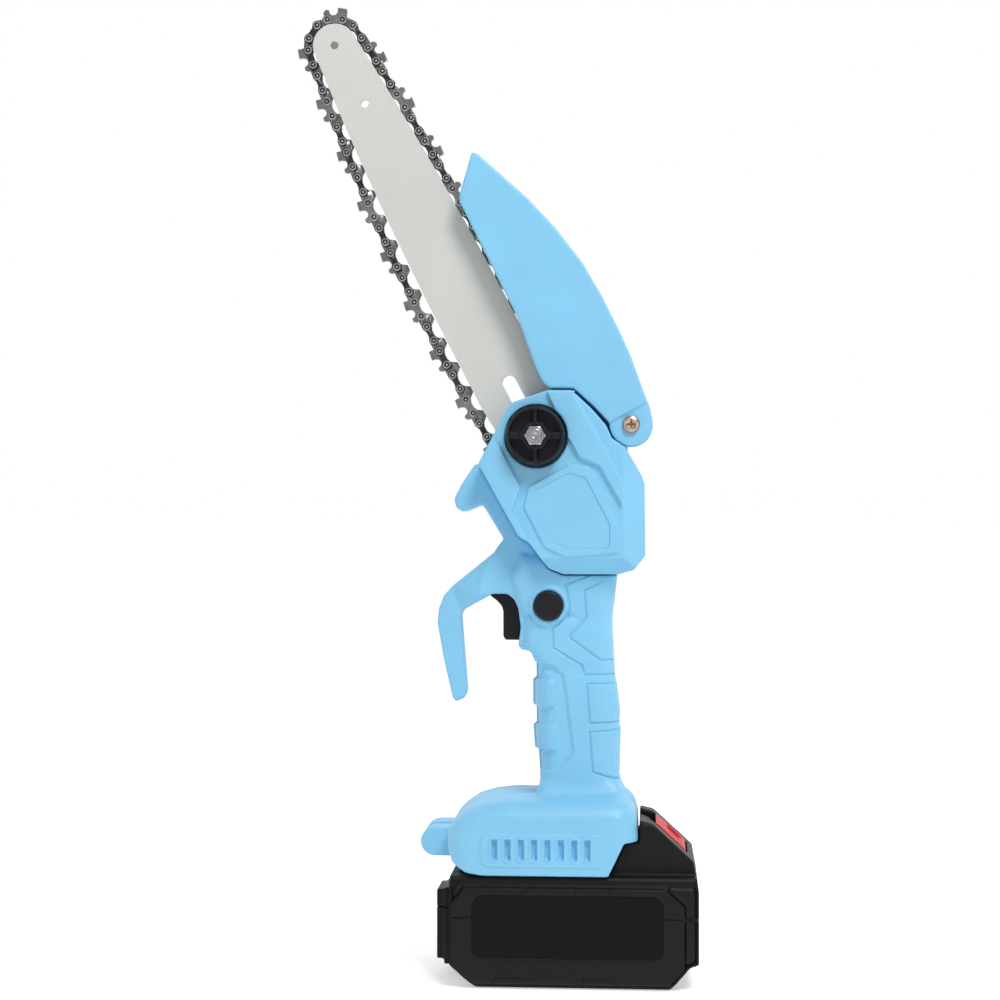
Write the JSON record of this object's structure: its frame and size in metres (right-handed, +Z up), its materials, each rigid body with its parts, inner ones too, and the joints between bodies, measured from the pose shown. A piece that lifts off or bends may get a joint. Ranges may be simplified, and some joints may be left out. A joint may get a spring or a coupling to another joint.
{
  "type": "cordless pruning chainsaw",
  "caption": "Small battery chainsaw with a pistol grip, sprocket cover and clamp knob, swinging chain guard, guide bar with saw chain, and a slide-on battery it stands on.",
  "frame": {"origin": "middle of the battery's flat underside, which the tool stands on", "axes": "+X from the trigger side to the back of the grip, along which the battery slides off; +Y away from the sprocket cover towards the motor drum; +Z up"},
  "size_m": [0.1846, 0.091, 0.4467],
  "materials": {
    "blue_shell": "fine matt texture",
    "charcoal_plastic": "matt",
    "inner_plastic": "matt",
    "battery_black": "fine matt texture",
    "label_black": "satin, blank",
    "latch_red": "satin",
    "lead_red": "satin",
    "board_green": "satin",
    "screw_steel": "zinc plated",
    "bright_steel": "polished",
    "plain_steel": "machined",
    "bar_finish": "matt blasted",
    "link_steel": "oiled",
    "strap_steel": "blued",
    "cutter_chrome": "chromed, ground edge",
    "spring_steel": "bright wire",
    "sintered_iron": "sintered, greased",
    "magnet_ferrite": "matt",
    "gear_brass": "cut",
    "winding_copper": "varnished",
    "contact_brass": "plated",
    "cast_aluminium": "die-cast",
    "cell_can": "sleeved"
  },
  "bodies": {
    "saw": {"housing_near": "blue_shell", "housing_far": "blue_shell", "housing_screws": "screw_steel", "sprocket_cover": "blue_shell", "bar_stud": "bright_steel", "clamp_plate": "plain_steel", "spindle_bearings": "bright_steel", "gear_plate": "cast_aluminium", "gear_plate_screws": "screw_steel", "motor_can": "plain_steel", "motor_magnets": "magnet_ferrite", "guard_pivot_screw": "screw_steel", "guard_pivot_nut": "screw_steel", "guard_spring": "spring_steel", "trigger_spring": "spring_steel", "trigger_switch": "inner_plastic", "lock_spring": "spring_steel", "controller_board": "board_green", "terminal_block": "inner_plastic", "terminal_blades": "contact_brass", "motor_leads": "lead_red", "chain_drive_links": "link_steel", "chain_straps_near": "strap_steel", "chain_straps_far": "strap_steel", "chain_cutters_near": "cutter_chrome", "chain_cutters_far": "cutter_chrome", "chain_rivets": "bright_steel"},
    "bar": {"bar_plate_near": "bar_finish", "bar_core": "plain_steel", "bar_plate_far": "bar_finish", "bar_nose_rivet": "plain_steel", "tension_block": "plain_steel"},
    "tensioner": {"tension_screw": "screw_steel"},
    "knob": {"cover_knob": "charcoal_plastic", "knob_nut": "bright_steel"},
    "guard": {"chain_guard": "blue_shell"},
    "trigger": {"trigger": "charcoal_plastic"},
    "lock": {"lock_button": "charcoal_plastic"},
    "output": {"sprocket": "plain_steel", "sprocket_clip": "bright_steel", "spindle": "bright_steel", "drive_gear": "sintered_iron"},
    "rotor": {"motor_shaft": "bright_steel", "motor_armature": "winding_copper", "motor_pinion": "gear_brass"},
    "battery": {"battery_case_lower": "battery_black", "battery_case_upper": "battery_black", "battery_label_plates": "label_black", "battery_case_screws": "screw_steel", "battery_cells": "cell_can", "battery_cell_holders": "inner_plastic", "battery_board": "board_green", "battery_terminals": "contact_brass", "latch_spring": "spring_steel"},
    "latch": {"latch_button": "latch_red", "latch_nose": "charcoal_plastic"}
  },
  "joints": [
    {"name": "bar_slide", "type": "slide", "parent": "saw", "child": "bar", "axis": [-0.4602, 0, 0.8878], "range_m": [-0.005, 0]},
    {"name": "tension_screw_turn", "type": "hinge", "parent": "saw", "child": "tensioner", "pos_m": [-0.01211, -0.0066, 0.26383], "axis": [-0.4602, 0, 0.8878], "range_deg": [-2260, 10]},
    {"name": "knob_turn", "type": "hinge", "parent": "saw", "child": "knob", "pos_m": [-0.01542, -0.03, 0.24849], "axis": [0, -1, 0], "continuous": true},
    {"name": "guard_swing", "type": "hinge", "parent": "saw", "child": "guard", "pos_m": [0.0276, -0.012, 0.2538], "axis": [0, 1, 0], "range_deg": [0, 70], "stiffness_Nm_per_rad": 0.12, "springref_deg": -34.38},
    {"name": "trigger_pull", "type": "slide", "parent": "saw", "child": "trigger", "axis": [1, 0, 0], "range_m": [0, 0.006], "stiffness_N_per_m": 700, "springref_m": -0.004, "deforming": ["trigger_spring"]},
    {"name": "lock_push", "type": "slide", "parent": "saw", "child": "lock", "axis": [0, 1, 0], "range_m": [0, 0.0025], "stiffness_N_per_m": 900, "springref_m": -0.002, "deforming": ["lock_spring"]},
    {"name": "sprocket_spin", "type": "hinge", "parent": "saw", "child": "output", "pos_m": [-0.00166, -0.012, 0.22194], "axis": [0, 1, 0], "continuous": true},
    {"name": "motor_spin", "type": "hinge", "parent": "saw", "child": "rotor", "pos_m": [-0.00362, 0.02, 0.24435], "axis": [0, 1, 0], "continuous": true},
    {"name": "battery_slide", "type": "slide", "parent": "saw", "child": "battery", "axis": [1, 0, 0], "range_m": [0, 0.09]},
    {"name": "latch_press", "type": "slide", "parent": "battery", "child": "latch", "axis": [0, 0, -1], "range_m": [0, 0.0038], "stiffness_N_per_m": 1200, "springref_m": -0.002, "deforming": ["latch_spring"]}
  ],
  "couplings": [
    {"joint": "tension_screw_turn", "follows": "bar_slide", "rad_per_m": 7854},
    {"joint": "motor_spin", "follows": "sprocket_spin", "ratio": -4}
  ]
}
